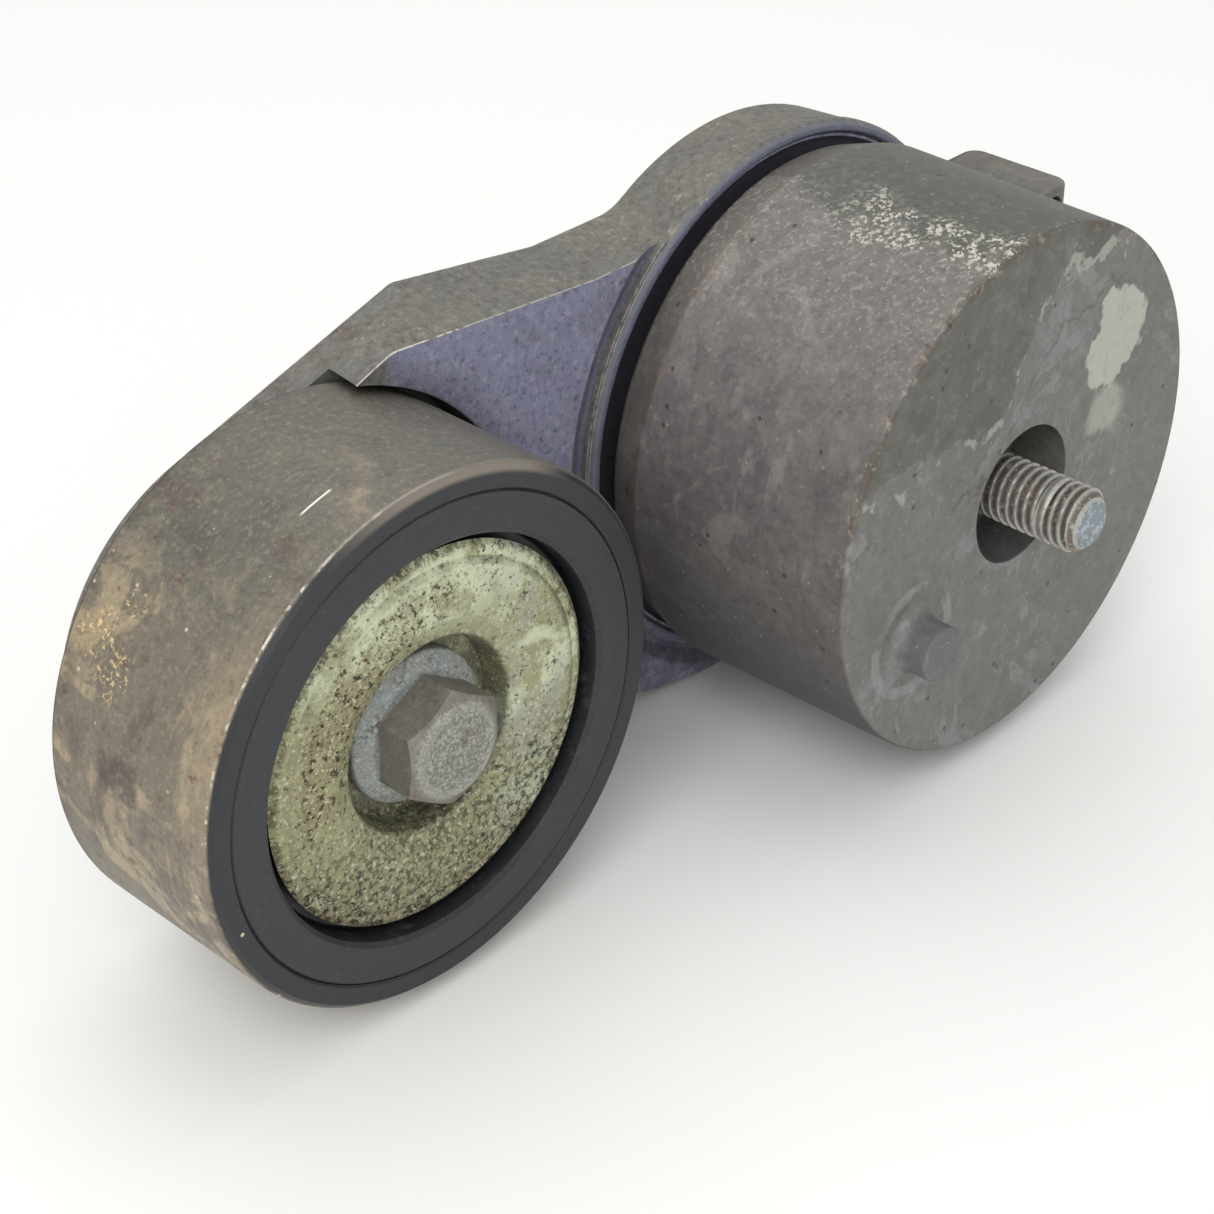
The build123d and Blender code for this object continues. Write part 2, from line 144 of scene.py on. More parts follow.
class Surface:
    """The places a finish is laid out by: position, distance from an axis along Y, and angle."""

    def __init__(self, name, centre=(0.0, 0.0, 0.0)):
        self.material = bpy.data.materials.new(name)
        self.material.use_nodes = True
        self.tree = self.material.node_tree
        self.tree.nodes.clear()
        seat = add(self.tree, "ShaderNodeTexCoord")
        grown = add(self.tree, "ShaderNodeVectorMath", {0: seat.outputs["Object"], "Scale": 1 / MM},
                    operation="SCALE")
        moved = add(self.tree, "ShaderNodeVectorMath",
                    {0: grown.outputs[0], 1: (centre[0], 0.0, centre[2])}, operation="SUBTRACT")
        self.where = moved.outputs[0]
        split = add(self.tree, "ShaderNodeSeparateXYZ", {0: self.where})
        self.x, self.height, self.z = split.outputs
        across = add(self.tree, "ShaderNodeVectorMath", {0: self.where, 1: (1.0, 0.0, 1.0)},
                     operation="MULTIPLY")
        self.radius = add(self.tree, "ShaderNodeVectorMath", {0: across.outputs[0]},
                          operation="LENGTH").outputs["Value"]
        self.angle = add(self.tree, "ShaderNodeMath", {0: self.z, 1: self.x},
                         operation="ARCTAN2").outputs[0]

    def number(self, operation, first, second=0.0, third=0.0, clamp=False):
        """One Math node, on values or sockets."""
        return add(self.tree, "ShaderNodeMath", {0: first, 1: second, 2: third},
                   operation=operation, use_clamp=clamp).outputs[0]

    def step(self, value, start, end):
        """0 before start and 1 after end, smoothly; a falling step has its end below its start."""
        return add(self.tree, "ShaderNodeMapRange",
                   {"Value": value, "From Min": start, "From Max": end},
                   interpolation_type="SMOOTHSTEP").outputs[0]

    def band(self, value, low, high, soft):
        """1 between low and high, fading over soft on each side."""
        return self.number("MULTIPLY", self.step(value, low - soft, low),
                           self.step(value, high + soft, high))

    def grain(self, size, seed, detail=3.0, rough=0.6, warp=0.0, where=None):
        """Fractal noise whose features are about size millimetres wide."""
        place = add(self.tree, "ShaderNodeVectorMath",
                    {0: where or self.where, 1: (seed * 37.0, seed * 11.0, seed * 23.0)},
                    operation="ADD").outputs[0]
        return add(self.tree, "ShaderNodeTexNoise",
                   {"Vector": place, "Scale": 1 / size, "Detail": detail, "Roughness": rough,
                    "Distortion": warp}).outputs[0]

    def patches(self, size, seed, level, soft=0.06, **kind):
        """Mask of irregular patches; a higher level leaves fewer."""
        return self.step(self.grain(size, seed, **kind), level, level + soft)

    def spots(self, size, seed, reach, soft):
        """Mask of round specks, one to a cell of size millimetres; reach is their share of it."""
        place = add(self.tree, "ShaderNodeVectorMath",
                    {0: self.where, 1: (seed * 29.0, seed * 13.0, seed * 7.0)},
                    operation="ADD").outputs[0]
        cells = add(self.tree, "ShaderNodeTexVoronoi", {"Vector": place, "Scale": 1 / size})
        return self.step(cells.outputs["Distance"], reach, reach - soft)

    def stretched(self, factors):
        """The position squeezed along some axes, for grain that runs one way."""
        return add(self.tree, "ShaderNodeVectorMath", {0: self.where, 1: factors},
                   operation="MULTIPLY").outputs[0]

    def rings(self, size, seed):
        """Grain drawn out into a tool's rings about the axis."""
        around = add(self.tree, "ShaderNodeCombineXYZ", {0: self.radius, 1: self.height})
        return self.grain(size, seed, where=around.outputs[0])

    def from_axis(self, place):
        """Distance from another axis along Y, given as a place on it."""
        return add(self.tree, "ShaderNodeVectorMath",
                   {0: self.stretched((1.0, 0.0, 1.0)), 1: (place[0], 0.0, place[2])},
                   operation="DISTANCE").outputs["Value"]

    def near(self, place, reach, soft, ragged, wobble):
        """Mask of one patch about a place, given as x, y, z; ragged noise moves its edge."""
        gap = add(self.tree, "ShaderNodeVectorMath", {0: self.where, 1: place},
                  operation="DISTANCE").outputs["Value"]
        gap = self.number("MULTIPLY_ADD", ragged, wobble, gap)
        return self.step(gap, reach + wobble / 2, reach + wobble / 2 - soft)

    def both(self, *masks):
        """Where every mask holds."""
        product = masks[0]
        for mask in masks[1:]:
            product = self.number("MULTIPLY", product, mask)
        return product

    def either(self, *masks):
        """Where any mask holds."""
        largest = masks[0]
        for mask in masks[1:]:
            largest = self.number("MAXIMUM", largest, mask)
        return largest

    def layered(self, base, layers):
        """Colours laid one over another: each layer is (mask, strength, colour)."""
        colour = (*base, 1.0)
        for mask, strength, over in layers:
            share = self.number("MULTIPLY", mask, strength, clamp=True)
            colour = add(self.tree, "ShaderNodeMix", {0: share, 6: colour, 7: linear(over)},
                         data_type="RGBA").outputs[2]
        return colour

    def levels(self, base, changes):
        """A number changed step by step: each change is (mask, amount)."""
        value = base
        for mask, amount in changes:
            value = self.number("ADD", value, self.number("MULTIPLY", mask, amount))
        return self.number("ADD", value, 0.0, clamp=True)

    def relief(self, heights):
        """Bump from heights given as (mask, millimetres), added up."""
        total = None
        for mask, depth in heights:
            part = self.number("MULTIPLY", mask, depth)
            total = part if total is None else self.number("ADD", total, part)
        return add(self.tree, "ShaderNodeBump", {"Height": total, "Distance": MM,
                                                 "Strength": 1.0}).outputs[0]

    def finish(self, colour, roughness, normal, metallic=0.0):
        """Joins the finish to the material's output and gives the material."""
        shader = add(self.tree, "ShaderNodeBsdfPrincipled",
                     {"Base Color": colour, "Roughness": roughness, "Normal": normal,
                      "Metallic": metallic})
        add(self.tree, "ShaderNodeOutputMaterial", {"Surface": shader.outputs[0]})
        return self.material


def give(material, *nodes):
    """Puts one finish on whole CAD nodes."""
    for node in nodes:
        slots = frame["nodes"][node].data.materials
        slots.clear()
        slots.append(material)


# ---- finishes ----------------------------------------------------------------------------------
def cast_case_finish(look):
    """Die-cast aluminium, as cast and long used: dull mottled grey with brown engine stains."""
    s = Surface("die_cast_aluminium_case")
    face = s.step(s.height, 0.5, 0.05)
    wall = s.number("SUBTRACT", 1.0, face)
    broad = s.grain(24.0, 1.0, detail=4.0, warp=0.6)
    mid = s.grain(5.0, 2.0, detail=4.0, rough=0.7)
    fine = s.grain(1.6, 3.0, detail=5.0, rough=0.75)
    ragged = s.grain(7.0, 4.0, detail=3.0)
    flow = s.grain(15.0, 5.0, detail=4.0, rough=0.65, warp=1.2)
    chips = s.grain(0.8, 6.0, detail=3.0, rough=0.7)
    clumps = s.grain(5.0, 9.0, detail=2.0)

    # the smooth olive film round the top, and the chipped border where it ends
    edge = s.number("MULTIPLY_ADD", s.number("SUBTRACT", ragged, 0.5), 0.5, s.angle)
    film = s.both(wall, s.step(edge, 1.86, 1.76), s.step(edge, 0.55, 0.80))
    border = s.both(wall, s.band(edge, 1.72, 1.84, 0.10), s.step(s.height, 31.0, 20.0))
    scuffs = s.both(border, s.step(chips, 0.51, 0.56), s.step(clumps, 0.38, 0.50))
    spray = s.both(wall, s.step(edge, 2.75, 1.90), s.step(edge, 1.66, 1.80),
                   s.step(chips, 0.55, 0.62))
    purple = s.both(wall, s.step(s.angle, 1.95, 2.6), s.step(broad, 0.40, 0.58))
    rosy = s.both(wall, s.band(s.angle, 2.0, 2.6, 0.3), s.step(mid, 0.50, 0.66))
    # painted shade: the walls are darkened towards the bottom and towards the back
    depth = s.number("ADD", s.z, s.number("MULTIPLY", s.height, -0.25))
    painted_low_shade = s.both(wall, s.step(depth, 6.0, -30.0))
    pale_wall = s.both(wall, s.step(flow, 0.56, 0.62), s.step(s.height, 8.0, 24.0))

    down = s.stretched((1.0, 1.0, 0.25))
    streaks = s.both(wall, s.step(s.angle, 2.2, 2.9),
                     s.patches(4.5, 10.0, 0.56, 0.07, detail=4.0, where=down))
    drips = s.both(wall, s.step(s.angle, 2.1, 2.8),
                   s.patches(6.0, 10.5, 0.52, 0.12, detail=4.0, where=down))
    rim = s.both(s.band(s.height, -0.5, 0.55, 0.5), s.step(s.radius, FACE_R - 1.2, FACE_R - 0.3))
    rim_brown = s.both(rim, s.step(ragged, 0.46, 0.56), s.step(s.z, -12.0, 6.0))
    rim_chips = s.both(s.band(s.height, -0.5, 1.0, 0.8),
                       s.step(s.radius, FACE_R - 1.4, FACE_R - 0.5),
                       s.step(fine, 0.56, 0.60), s.step(s.z, -10.0, 12.0))
    shoulder = s.both(s.band(s.height, CASE_SHOULDER - 0.7, CASE_SHOULDER, 0.5),
                      s.step(mid, 0.44, 0.56))
    # the rear taper: a brown tint that is partly painted shade beside the gap to the arm
    taper_tint_and_shade = s.step(s.height, CASE_SHOULDER - 0.3, CASE_SHOULDER + 0.9)

    # the mounting face: an olive tide above a line that climbs to the right, and a dry pale patch
    climb = s.number("MULTIPLY", s.step(s.x, -8.0, 6.0), 19.0)
    tide = s.number("SUBTRACT", s.number("SUBTRACT", s.z, 15.5), climb)
    tide = s.number("MULTIPLY_ADD", s.number("SUBTRACT", ragged, 0.5), 16.0, tide)
    wet = s.both(face, s.step(tide, -0.4, 0.5))
    dry_line = s.both(face, s.band(tide, -2.0, -0.4, 0.5), s.step(mid, 0.46, 0.54))
    outline = s.both(face, s.band(s.number("ADD", tide, 9.0), -0.25, 0.25, 0.35),
                     s.step(flow, 0.42, 0.5))
    patch = s.either(s.near((21.5, 0.0, 17.5), 7.6, 0.9, ragged, 12.0),
                     s.both(s.near((20.5, 0.0, 6.0), 5.4, 3.0, ragged, 9.0), 0.65))
    halo = s.both(face, s.near((21.5, 0.0, 15.0), 11.5, 2.5, ragged, 14.0))
    runs = s.both(face, s.step(flow, 0.54, 0.60), s.step(mid, 0.40, 0.56))
    from_peg = s.from_axis(PEG)
    peg = s.step(from_peg, 4.9, 4.3)
    peg_ring = s.both(face, s.band(from_peg, 7.6, 8.8, 0.6), s.step(ragged, 0.40, 0.52))
    pits = s.spots(5.0, 7.0, 0.10, 0.05)
    crumbs = s.spots(2.6, 8.0, 0.11, 0.05)

    colour = s.layered(look.case, [
        (broad, 0.35, "8a8680"),
        (s.step(mid, 0.36, 0.64), 0.50, "625f5c"),
        (purple, 0.55, "625b5f"),
        (rosy, 0.35, "8f8583"),
        (pale_wall, 0.45, "918e88"),
        (film, 0.85, "53544d"),
        (face, 0.45, "7a7a77"),
        (runs, 0.45, "96979a"),
        (halo, 0.45, "70706b"),
        (wet, 0.70, "5f5f56"),
        (s.both(wet, s.step(mid, 0.42, 0.62)), 0.45, "52504a"),
        (dry_line, 0.70, "a8a79d"),
        (outline, 0.45, "55534d"),
        (s.both(face, patch), 0.90, "b4b3a8"),
        (peg_ring, 0.55, "9a9c9c"),
        (peg, 0.55, "62646d"),
        (streaks, 0.45, "928f8e"),
        (drips, 0.45, "504b50"),
        (s.both(wall, s.step(fine, 0.50, 0.74)), 0.34, "a29d93"),
        (s.both(wall, s.step(fine, 0.50, 0.30)), 0.40, "3d3a38"),
        (s.both(face, s.step(fine, 0.50, 0.74)), 0.25, "a9a8a0"),
        (s.both(face, s.step(fine, 0.50, 0.30)), 0.28, "44443f"),
        # painted shade on the lower walls
        (painted_low_shade, 0.75, "413f45"),
        # brown tint on the rear taper, partly painted shade
        (taper_tint_and_shade, 0.45, "5d564d"),
        # painted shade: the case's rear edge near black, in the gap under the arm's hub
        (s.step(s.height, CASE_SHOULDER + 5.1, CASE_SHOULDER + 6.0), 0.85, "1f1e1d"),
        (shoulder, 0.50, "7a6c5c"),
        (rim_brown, 0.60, "5b4d41"),
        (rim_chips, 0.50, "a29684"),
        (scuffs, 0.85, "cfcbbd"),
        (spray, 0.42, "b3afa4"),
        (pits, 0.60, "2e2b29"),
        (crumbs, 0.35, "b5b0a4"),
    ])
    roughness = s.levels(0.60, [(fine, 0.18), (film, -0.12), (scuffs, 0.15), (wet, -0.08)])
    normal = s.relief([(fine, 0.05), (mid, 0.10), (pits, -0.10)])
    metallic = s.levels(0.30, [(patch, -0.2), (scuffs, -0.2)])
    return s.finish(colour, roughness, normal, metallic)


def cast_arm_finish(look):
    """Die-cast aluminium, shot-blasted: blue-grey where sheltered, olive-brown where exposed."""
    s = Surface("die_cast_aluminium_arm")
    fine = s.grain(1.2, 11.0, detail=4.0, rough=0.8)
    mid = s.grain(4.5, 12.0, detail=4.0, rough=0.7)
    broad = s.grain(18.0, 13.0, detail=3.0, warp=0.5)
    chips = s.grain(1.4, 14.0, detail=2.0)
    facing = add(s.tree, "ShaderNodeNewGeometry").outputs["Normal"]
    turned = add(s.tree, "ShaderNodeVectorTransform", {0: facing}, vector_type="NORMAL",
                 convert_from="WORLD", convert_to="OBJECT").outputs[0]
    toward = add(s.tree, "ShaderNodeSeparateXYZ", {0: turned}).outputs[1]
    front = s.both(s.step(toward, -0.75, -0.95), s.step(s.x, -80.0, -76.0))
    side = s.number("SUBTRACT", 1.0, s.step(s.number("ABSOLUTE", toward), 0.75, 0.95))
    from_pulley = s.from_axis(PULLEY_AXIS)

    web = s.step(s.x, -18.0, -34.0)
    edge_line = s.both(side, web, s.band(s.height, ARM_FRONT, ARM_FRONT + 0.22, 0.18),
                       s.step(chips, 0.38, 0.50))
    tip_line = s.both(edge_line, s.step(s.x, -62.0, -70.0))
    tan_film = s.both(side, s.step(broad, 0.45, 0.60))
    rusty = s.both(side, s.step(s.x, -58.0, -80.0), s.step(mid, 0.52, 0.62))
    nicks = s.both(side, s.step(chips, 0.64, 0.69), s.step(broad, 0.46, 0.58))
    blue = s.both(front, s.step(broad, 0.34, 0.56))
    flecks = s.both(front, s.step(chips, 0.54, 0.62))
    # painted shade: the front faces darken, mottled, towards the bottom
    painted_lower_shade = s.both(front, s.step(s.z, 24.0, -12.0), s.step(mid, 0.38, 0.58))
    # painted shade: the pocket's floor and wall round the pulley are darkened
    inside = s.step(s.height, POCKET_FLOOR + 0.5, POCKET_FLOOR + 0.1)
    painted_pocket_shade = s.both(s.step(from_pulley, TREAD_R + 1.7, TREAD_R + 1.0),
                    s.step(s.x, -78.0, -72.0), inside)
    # painted shadow: the front faces darken close to the pulley
    painted_pulley_shadow = s.both(front, s.step(from_pulley, TREAD_R + 6.5, TREAD_R + 0.5))
    # painted shade: near black on the front faces inside the hub, in the gap to the case
    painted_gap_shade = s.both(front, s.step(s.radius, 40.0, 39.5))
    # painted shade: dark blue-grey in the channel round the hub's crest
    painted_channel_shade = s.both(s.band(s.radius, 42.5, 45.4, 0.4),
                     s.step(s.height, ARM_FRONT + 2.0, ARM_FRONT + 1.0),
                     s.number("SUBTRACT", 1.0, side))
    crest = s.both(s.step(s.height, ARM_FRONT + 0.1, ARM_FRONT - 0.4),
                   s.band(s.radius, 40.6, 42.2, 0.3))

    colour = s.layered(look.arm, [
        (broad, 0.30, "84817a"),
        (s.step(mid, 0.38, 0.66), 0.35, "615e5a"),
        (tan_film, 0.35, "807a69"),
        (rusty, 0.45, "665041"),
        (front, 0.90, "8788a0"),
        (blue, 0.55, "9697b3"),
        (flecks, 0.40, "adaec0"),
        # painted shade, low on the front faces
        (painted_lower_shade, 0.50, "4a4a55"),
        # painted shadow beside the pulley
        (painted_pulley_shadow, 0.45, "3b3b45"),
        (s.step(fine, 0.50, 0.72), 0.34, "a9a8a4"),
        (s.step(fine, 0.50, 0.30), 0.60, "3a393b"),
        # painted shade in the channel
        (painted_channel_shade, 0.60, "40424e"),
        (crest, 0.60, "686d7c"),
        # painted shade in the gap inside the hub
        (painted_gap_shade, 0.90, "141417"),
        # painted shade in the pocket
        (painted_pocket_shade, 0.85, "3a3935"),
        (nicks, 0.50, "aaa89f"),
        (edge_line, 0.60, "b7b2a6"),
        (tip_line, 0.60, "e0ddd4"),
    ])
    roughness = s.levels(0.58, [(fine, 0.20), (tip_line, -0.2)])
    normal = s.relief([(fine, 0.06), (mid, 0.09)])
    metallic = s.levels(0.30, [(tip_line, 0.5), (painted_gap_shade, -0.3), (painted_pocket_shade, -0.3)])
    return s.finish(colour, roughness, normal, metallic)


def worn_rim_finish(look):
    """Turned steel, blackened, its tread rubbed bare by the belt and stained brown since."""
    s = Surface("blackened_steel_rim", PULLEY_AXIS)
    low, high = RIM_LOW.y, RIM_HIGH.y
    broad = s.grain(16.0, 21.0, detail=4.0, warp=0.8)
    cloud = s.grain(11.0, 22.0, detail=4.0, rough=0.65, warp=1.0)
    mid = s.grain(4.0, 23.0, detail=4.0, rough=0.7)
    fine = s.grain(0.8, 24.0, detail=3.0, rough=0.75)
    chips = s.grain(1.6, 25.0, detail=3.0)
    tracks = s.grain(8.0, 26.0, detail=3.0, rough=0.7, where=s.stretched((1.0, 5.0, 1.0)))

    front_skin = s.step(s.height, low + 0.85, low + 0.45)
    chamfer = s.both(s.band(s.height, low + 0.1, low + 0.95, 0.3),
                     s.step(s.radius, TREAD_R - 1.5, TREAD_R - 0.9))
    worn_top = s.both(chamfer, s.step(s.angle, 0.85, 1.15), s.step(s.angle, 2.1, 1.6))
    bright_line = s.both(s.band(s.height, low + 0.72, low + 0.86, 0.10),
                         s.step(s.radius, TREAD_R - 0.6, TREAD_R - 0.35),
                         s.step(s.angle, 1.55, 1.85), s.step(chips, 0.50, 0.56),
                         s.step(mid, 0.44, 0.54))
    long_line = s.both(s.band(s.height, low + 0.74, low + 0.84, 0.08),
                       s.band(s.angle, 1.5, 2.0, 0.1))
    back_edge = s.step(s.height, high - 1.2, high - 0.9)
    back_stain = s.both(s.step(s.height, high - 4.5, high - 0.9), s.step(mid, 0.42, 0.56))

    olive = s.both(s.step(s.z, 20.0, 34.0), s.step(broad, 0.30, 0.44))
    tan = s.both(s.step(s.x, 12.0, -14.0), s.step(cloud, 0.47, 0.60))
    front_tan = s.both(s.step(s.height, low + 9.0, low + 2.0), s.step(s.angle, 1.5, 1.9),
                       s.step(s.z, -4.0, 12.0))
    dark = s.both(s.step(s.x, 6.0, -10.0), s.step(broad, 0.55, 0.63))
    smoky = s.both(s.step(s.z, 8.0, -6.0), s.step(tracks, 0.50, 0.62))
    pale = s.both(s.step(s.z, 2.0, -12.0), s.step(cloud, 0.54, 0.57), s.step(broad, 0.52, 0.46))
    rust = s.both(s.step(s.x, -6.0, -18.0), s.step(mid, 0.62, 0.68))
    streak = s.band(s.angle, 2.92, 3.05, 0.03)
    slash = s.both(streak, s.band(s.height, 35.0, 41.0, 1.5), s.step(mid, 0.40, 0.50))

    grit_zone = s.either(s.near((-31.5, 47.0, 21.0), 5.0, 2.5, cloud, 6.0),
                         s.near((-28.5, 42.5, 25.0), 2.6, 1.5, cloud, 4.0),
                         s.near((-33.5, 42.0, 17.5), 4.2, 3.0, cloud, 5.0))
    grit = s.both(grit_zone, s.step(fine, 0.53, 0.57), s.step(chips, 0.44, 0.50))
    stray_grit = s.both(s.spots(4.5, 27.0, 0.08, 0.03), s.step(s.x, -12.0, -24.0))
    scratch = s.both(s.step(s.x, -13.0, -12.0), s.step(s.x, -7.4, -8.2), s.step(s.z, 20.0, 30.0),
                     s.band(s.height, 29.5, 29.72, 0.10))

    colour = s.layered(look.tread, [
        (broad, 0.35, "8a7f70"),
        (tan, 0.80, "b8a787"),
        (front_tan, 0.60, "b2a184"),
        (olive, 0.80, "5f605a"),
        (s.step(mid, 0.38, 0.66), 0.32, "6f665b"),
        (s.step(tracks, 0.42, 0.64), 0.22, "6a6058"),
        (dark, 0.50, "5b524d"),
        (smoky, 0.45, "5d5558"),
        (pale, 0.50, "aba292"),
        (slash, 0.60, "4a4340"),
        (rust, 0.60, "6b4537"),
        (back_stain, 0.50, "544c45"),
        (s.step(mid, 0.48, 0.28), 0.40, "4c463f"),
        (s.step(fine, 0.52, 0.70), 0.28, "b8ae9b"),
        (s.step(fine, 0.48, 0.30), 0.36, "403b36"),
        (back_edge, 0.75, "33302d"),
        (front_skin, 1.0, "1e2023"),
        (worn_top, 0.80, "837a6f"),
        (bright_line, 0.75, "cfcbc0"),
        (long_line, 0.45, "b5afa4"),
        (grit, 0.95, "d6b987"),
        (stray_grit, 0.85, "d3c6aa"),
        (scratch, 0.95, "ece7db"),
    ])
    roughness = s.levels(0.44, [(fine, 0.16), (olive, -0.04), (grit, 0.3), (front_skin, -0.10)])
    normal = s.relief([(fine, 0.014), (tracks, 0.03), (grit, 0.10)])
    metallic = s.levels(0.45, [(grit, -0.45), (front_skin, -0.45), (bright_line, 0.3)])
    return s.finish(colour, roughness, normal, metallic)


def black_insert_finish(look):
    """Machined steel with a satin black coat, a little dusty, with a fine turned groove."""
    s = Surface("black_coated_steel", PULLEY_AXIS)
    cloudy = s.grain(9.0, 31.0)
    fine = s.grain(0.8, 32.0)
    turning = s.rings(1.2, 33.0)
    dust = s.patches(3.0, 34.0, 0.58, 0.08, detail=4.0)
    # painted shade: darker deeper into the recess
    painted_recess_shade = s.step(s.height, INSERT_FRONT + 0.6, INSERT_FRONT + 3.0)
    colour = s.layered(look.insert, [
        (cloudy, 0.22, "3b3e41"),
        # painted shade deep in the recess
        (painted_recess_shade, 0.70, "17181a"),
        (dust, 0.10, "64645f"),
        (s.step(fine, 0.56, 0.68), 0.08, "7b7c79"),
    ])
    roughness = s.levels(0.30, [(cloudy, 0.12), (dust, 0.2), (turning, 0.08)])
    return s.finish(colour, roughness, s.relief([(turning, 0.006), (fine, 0.006)]))


def yellow_zinc_finish(look):
    """Pressed steel, zinc plated and yellow chromated: greenish yellow with rust spots."""
    s = Surface("yellow_zinc_plated_steel", PULLEY_AXIS)
    cloudy = s.grain(8.0, 41.0, detail=4.0, warp=0.6)
    green_cloud = s.grain(9.0, 42.0, detail=3.0, warp=0.5)
    clusters = s.grain(5.0, 43.0, detail=4.0, rough=0.65)
    freckle = s.grain(1.0, 44.0, detail=3.0, rough=0.7)
    tiny = s.grain(0.55, 45.0, detail=2.0)

    outer = s.step(s.radius, 18.0, 25.5)
    upper_left = s.step(s.number("SUBTRACT", s.z, s.x), 8.0, 22.0)
    low = s.step(s.z, -3.0, -14.0)
    right = s.step(s.x, 6.0, 16.0)
    gritty = s.both(low, s.step(freckle, 0.46, 0.58))
    crust = s.either(s.both(upper_left, s.band(s.radius, 14.5, 22.0, 2.5)), s.both(low, outer))
    pale_green = s.either(s.both(s.step(s.z, 12.0, 20.0), s.step(green_cloud, 0.36, 0.50)),
                          s.both(right, s.step(green_cloud, 0.44, 0.56)))
    brown = s.both(s.step(clusters, 0.38, 0.54), crust)
    spread = s.either(s.both(crust, s.step(clusters, 0.36, 0.50)),
                      s.both(s.step(clusters, 0.50, 0.60), 0.8))
    freckles = s.both(s.step(freckle, 0.52, 0.58), spread)
    black = s.both(s.step(freckle, 0.57, 0.61), s.either(crust, s.step(clusters, 0.56, 0.64)))
    dots = s.both(s.step(tiny, 0.62, 0.66), s.step(cloudy, 0.38, 0.50))
    rim_rust = s.both(s.step(s.radius, 25.4, 26.5), s.step(freckle, 0.46, 0.52))
    groove = s.both(s.band(s.radius, 24.1, 25.0, 0.25), s.step(clusters, 0.36, 0.56))
    # painted shade: darker in clouds round the cup at the hole
    painted_cup_shade = s.both(s.step(s.radius, 14.8, 13.2), s.step(clusters, 0.32, 0.50))
    salt = s.step(tiny, 0.60, 0.36)

    colour = s.layered(look.shield, [
        (cloudy, 0.45, "aeae8c"),
        (s.step(green_cloud, 0.46, 0.62), 0.45, "93996f"),
        (pale_green, 0.80, "ced7b6"),
        (s.both(right, s.step(cloudy, 0.48, 0.60)), 0.45, "a3a5a0"),
        (groove, 0.50, "6f6b5c"),
        # painted shade in the cup
        (painted_cup_shade, 0.70, "55544c"),
        (brown, 0.55, "6f5f40"),
        (freckles, 0.70, "463923"),
        (low, 0.30, "77765f"),
        (gritty, 0.75, "45412f"),
        (rim_rust, 0.65, "4b3f2d"),
        (dots, 0.75, "332a1d"),
        (black, 0.85, "261e15"),
        (s.step(tiny, 0.43, 0.32), 0.50, "d9dccb"),
    ])
    roughness = s.levels(0.42, [(freckles, 0.3), (brown, 0.25), (tiny, 0.15)])
    normal = s.relief([(freckle, 0.035), (tiny, 0.02)])
    metallic = s.levels(0.50, [(freckles, -0.45), (brown, -0.4), (black, -0.5), (salt, -0.1)])
    return s.finish(colour, roughness, normal, metallic)


def zinc_bolt_finish(look):
    """Zinc plated steel, weathered: blue-grey in the lee, brown-grey where spanners rubbed it."""
    s = Surface("zinc_plated_steel_bolt", PULLEY_AXIS)
    face = s.step(s.height, 18.6, 18.1)
    hexagon = s.step(s.height, 24.9, 24.2)
    flange = s.number("SUBTRACT", 1.0, hexagon)
    fine = s.grain(0.7, 51.0, detail=3.0, rough=0.8)
    mid = s.grain(2.6, 52.0, detail=4.0, rough=0.7)
    specks = s.grain(0.45, 53.0, detail=3.0, rough=0.7)
    broad = s.grain(5.0, 54.0)
    colour = s.layered(look.bolt, [
        (s.step(mid, 0.38, 0.64), 0.40, "5f5b56"),
        (s.both(hexagon, s.step(broad, 0.44, 0.58)), 0.35, "776f64"),
        (flange, 0.75, "9b9e99"),
        (s.both(flange, s.step(broad, 0.50, 0.60)), 0.40, "8fa0a3"),
        (s.both(flange, s.step(mid, 0.54, 0.60)), 0.60, "4b4a45"),
        (face, 0.60, "868780"),
        (s.both(face, s.step(specks, 0.52, 0.58)), 0.55, "bcbeb5"),
        (s.both(face, s.step(specks, 0.46, 0.40)), 0.45, "53534f"),
        (s.both(flange, s.step(specks, 0.54, 0.60)), 0.55, "c6cdc9"),
        (s.both(face, s.band(s.radius, 5.7, 6.6, 0.4)), 0.40, "a8a79e"),
        (s.step(mid, 0.62, 0.67), 0.50, "58442f"),
        (s.step(fine, 0.46, 0.34), 0.35, "3f3b38"),
        (s.step(fine, 0.55, 0.66), 0.28, "a5a39d"),
    ])
    roughness = s.levels(0.42, [(fine, 0.22), (specks, 0.10)])
    normal = s.relief([(fine, 0.03), (mid, 0.05)])
    return s.finish(colour, roughness, normal, s.levels(0.45, [(mid, -0.2)]))


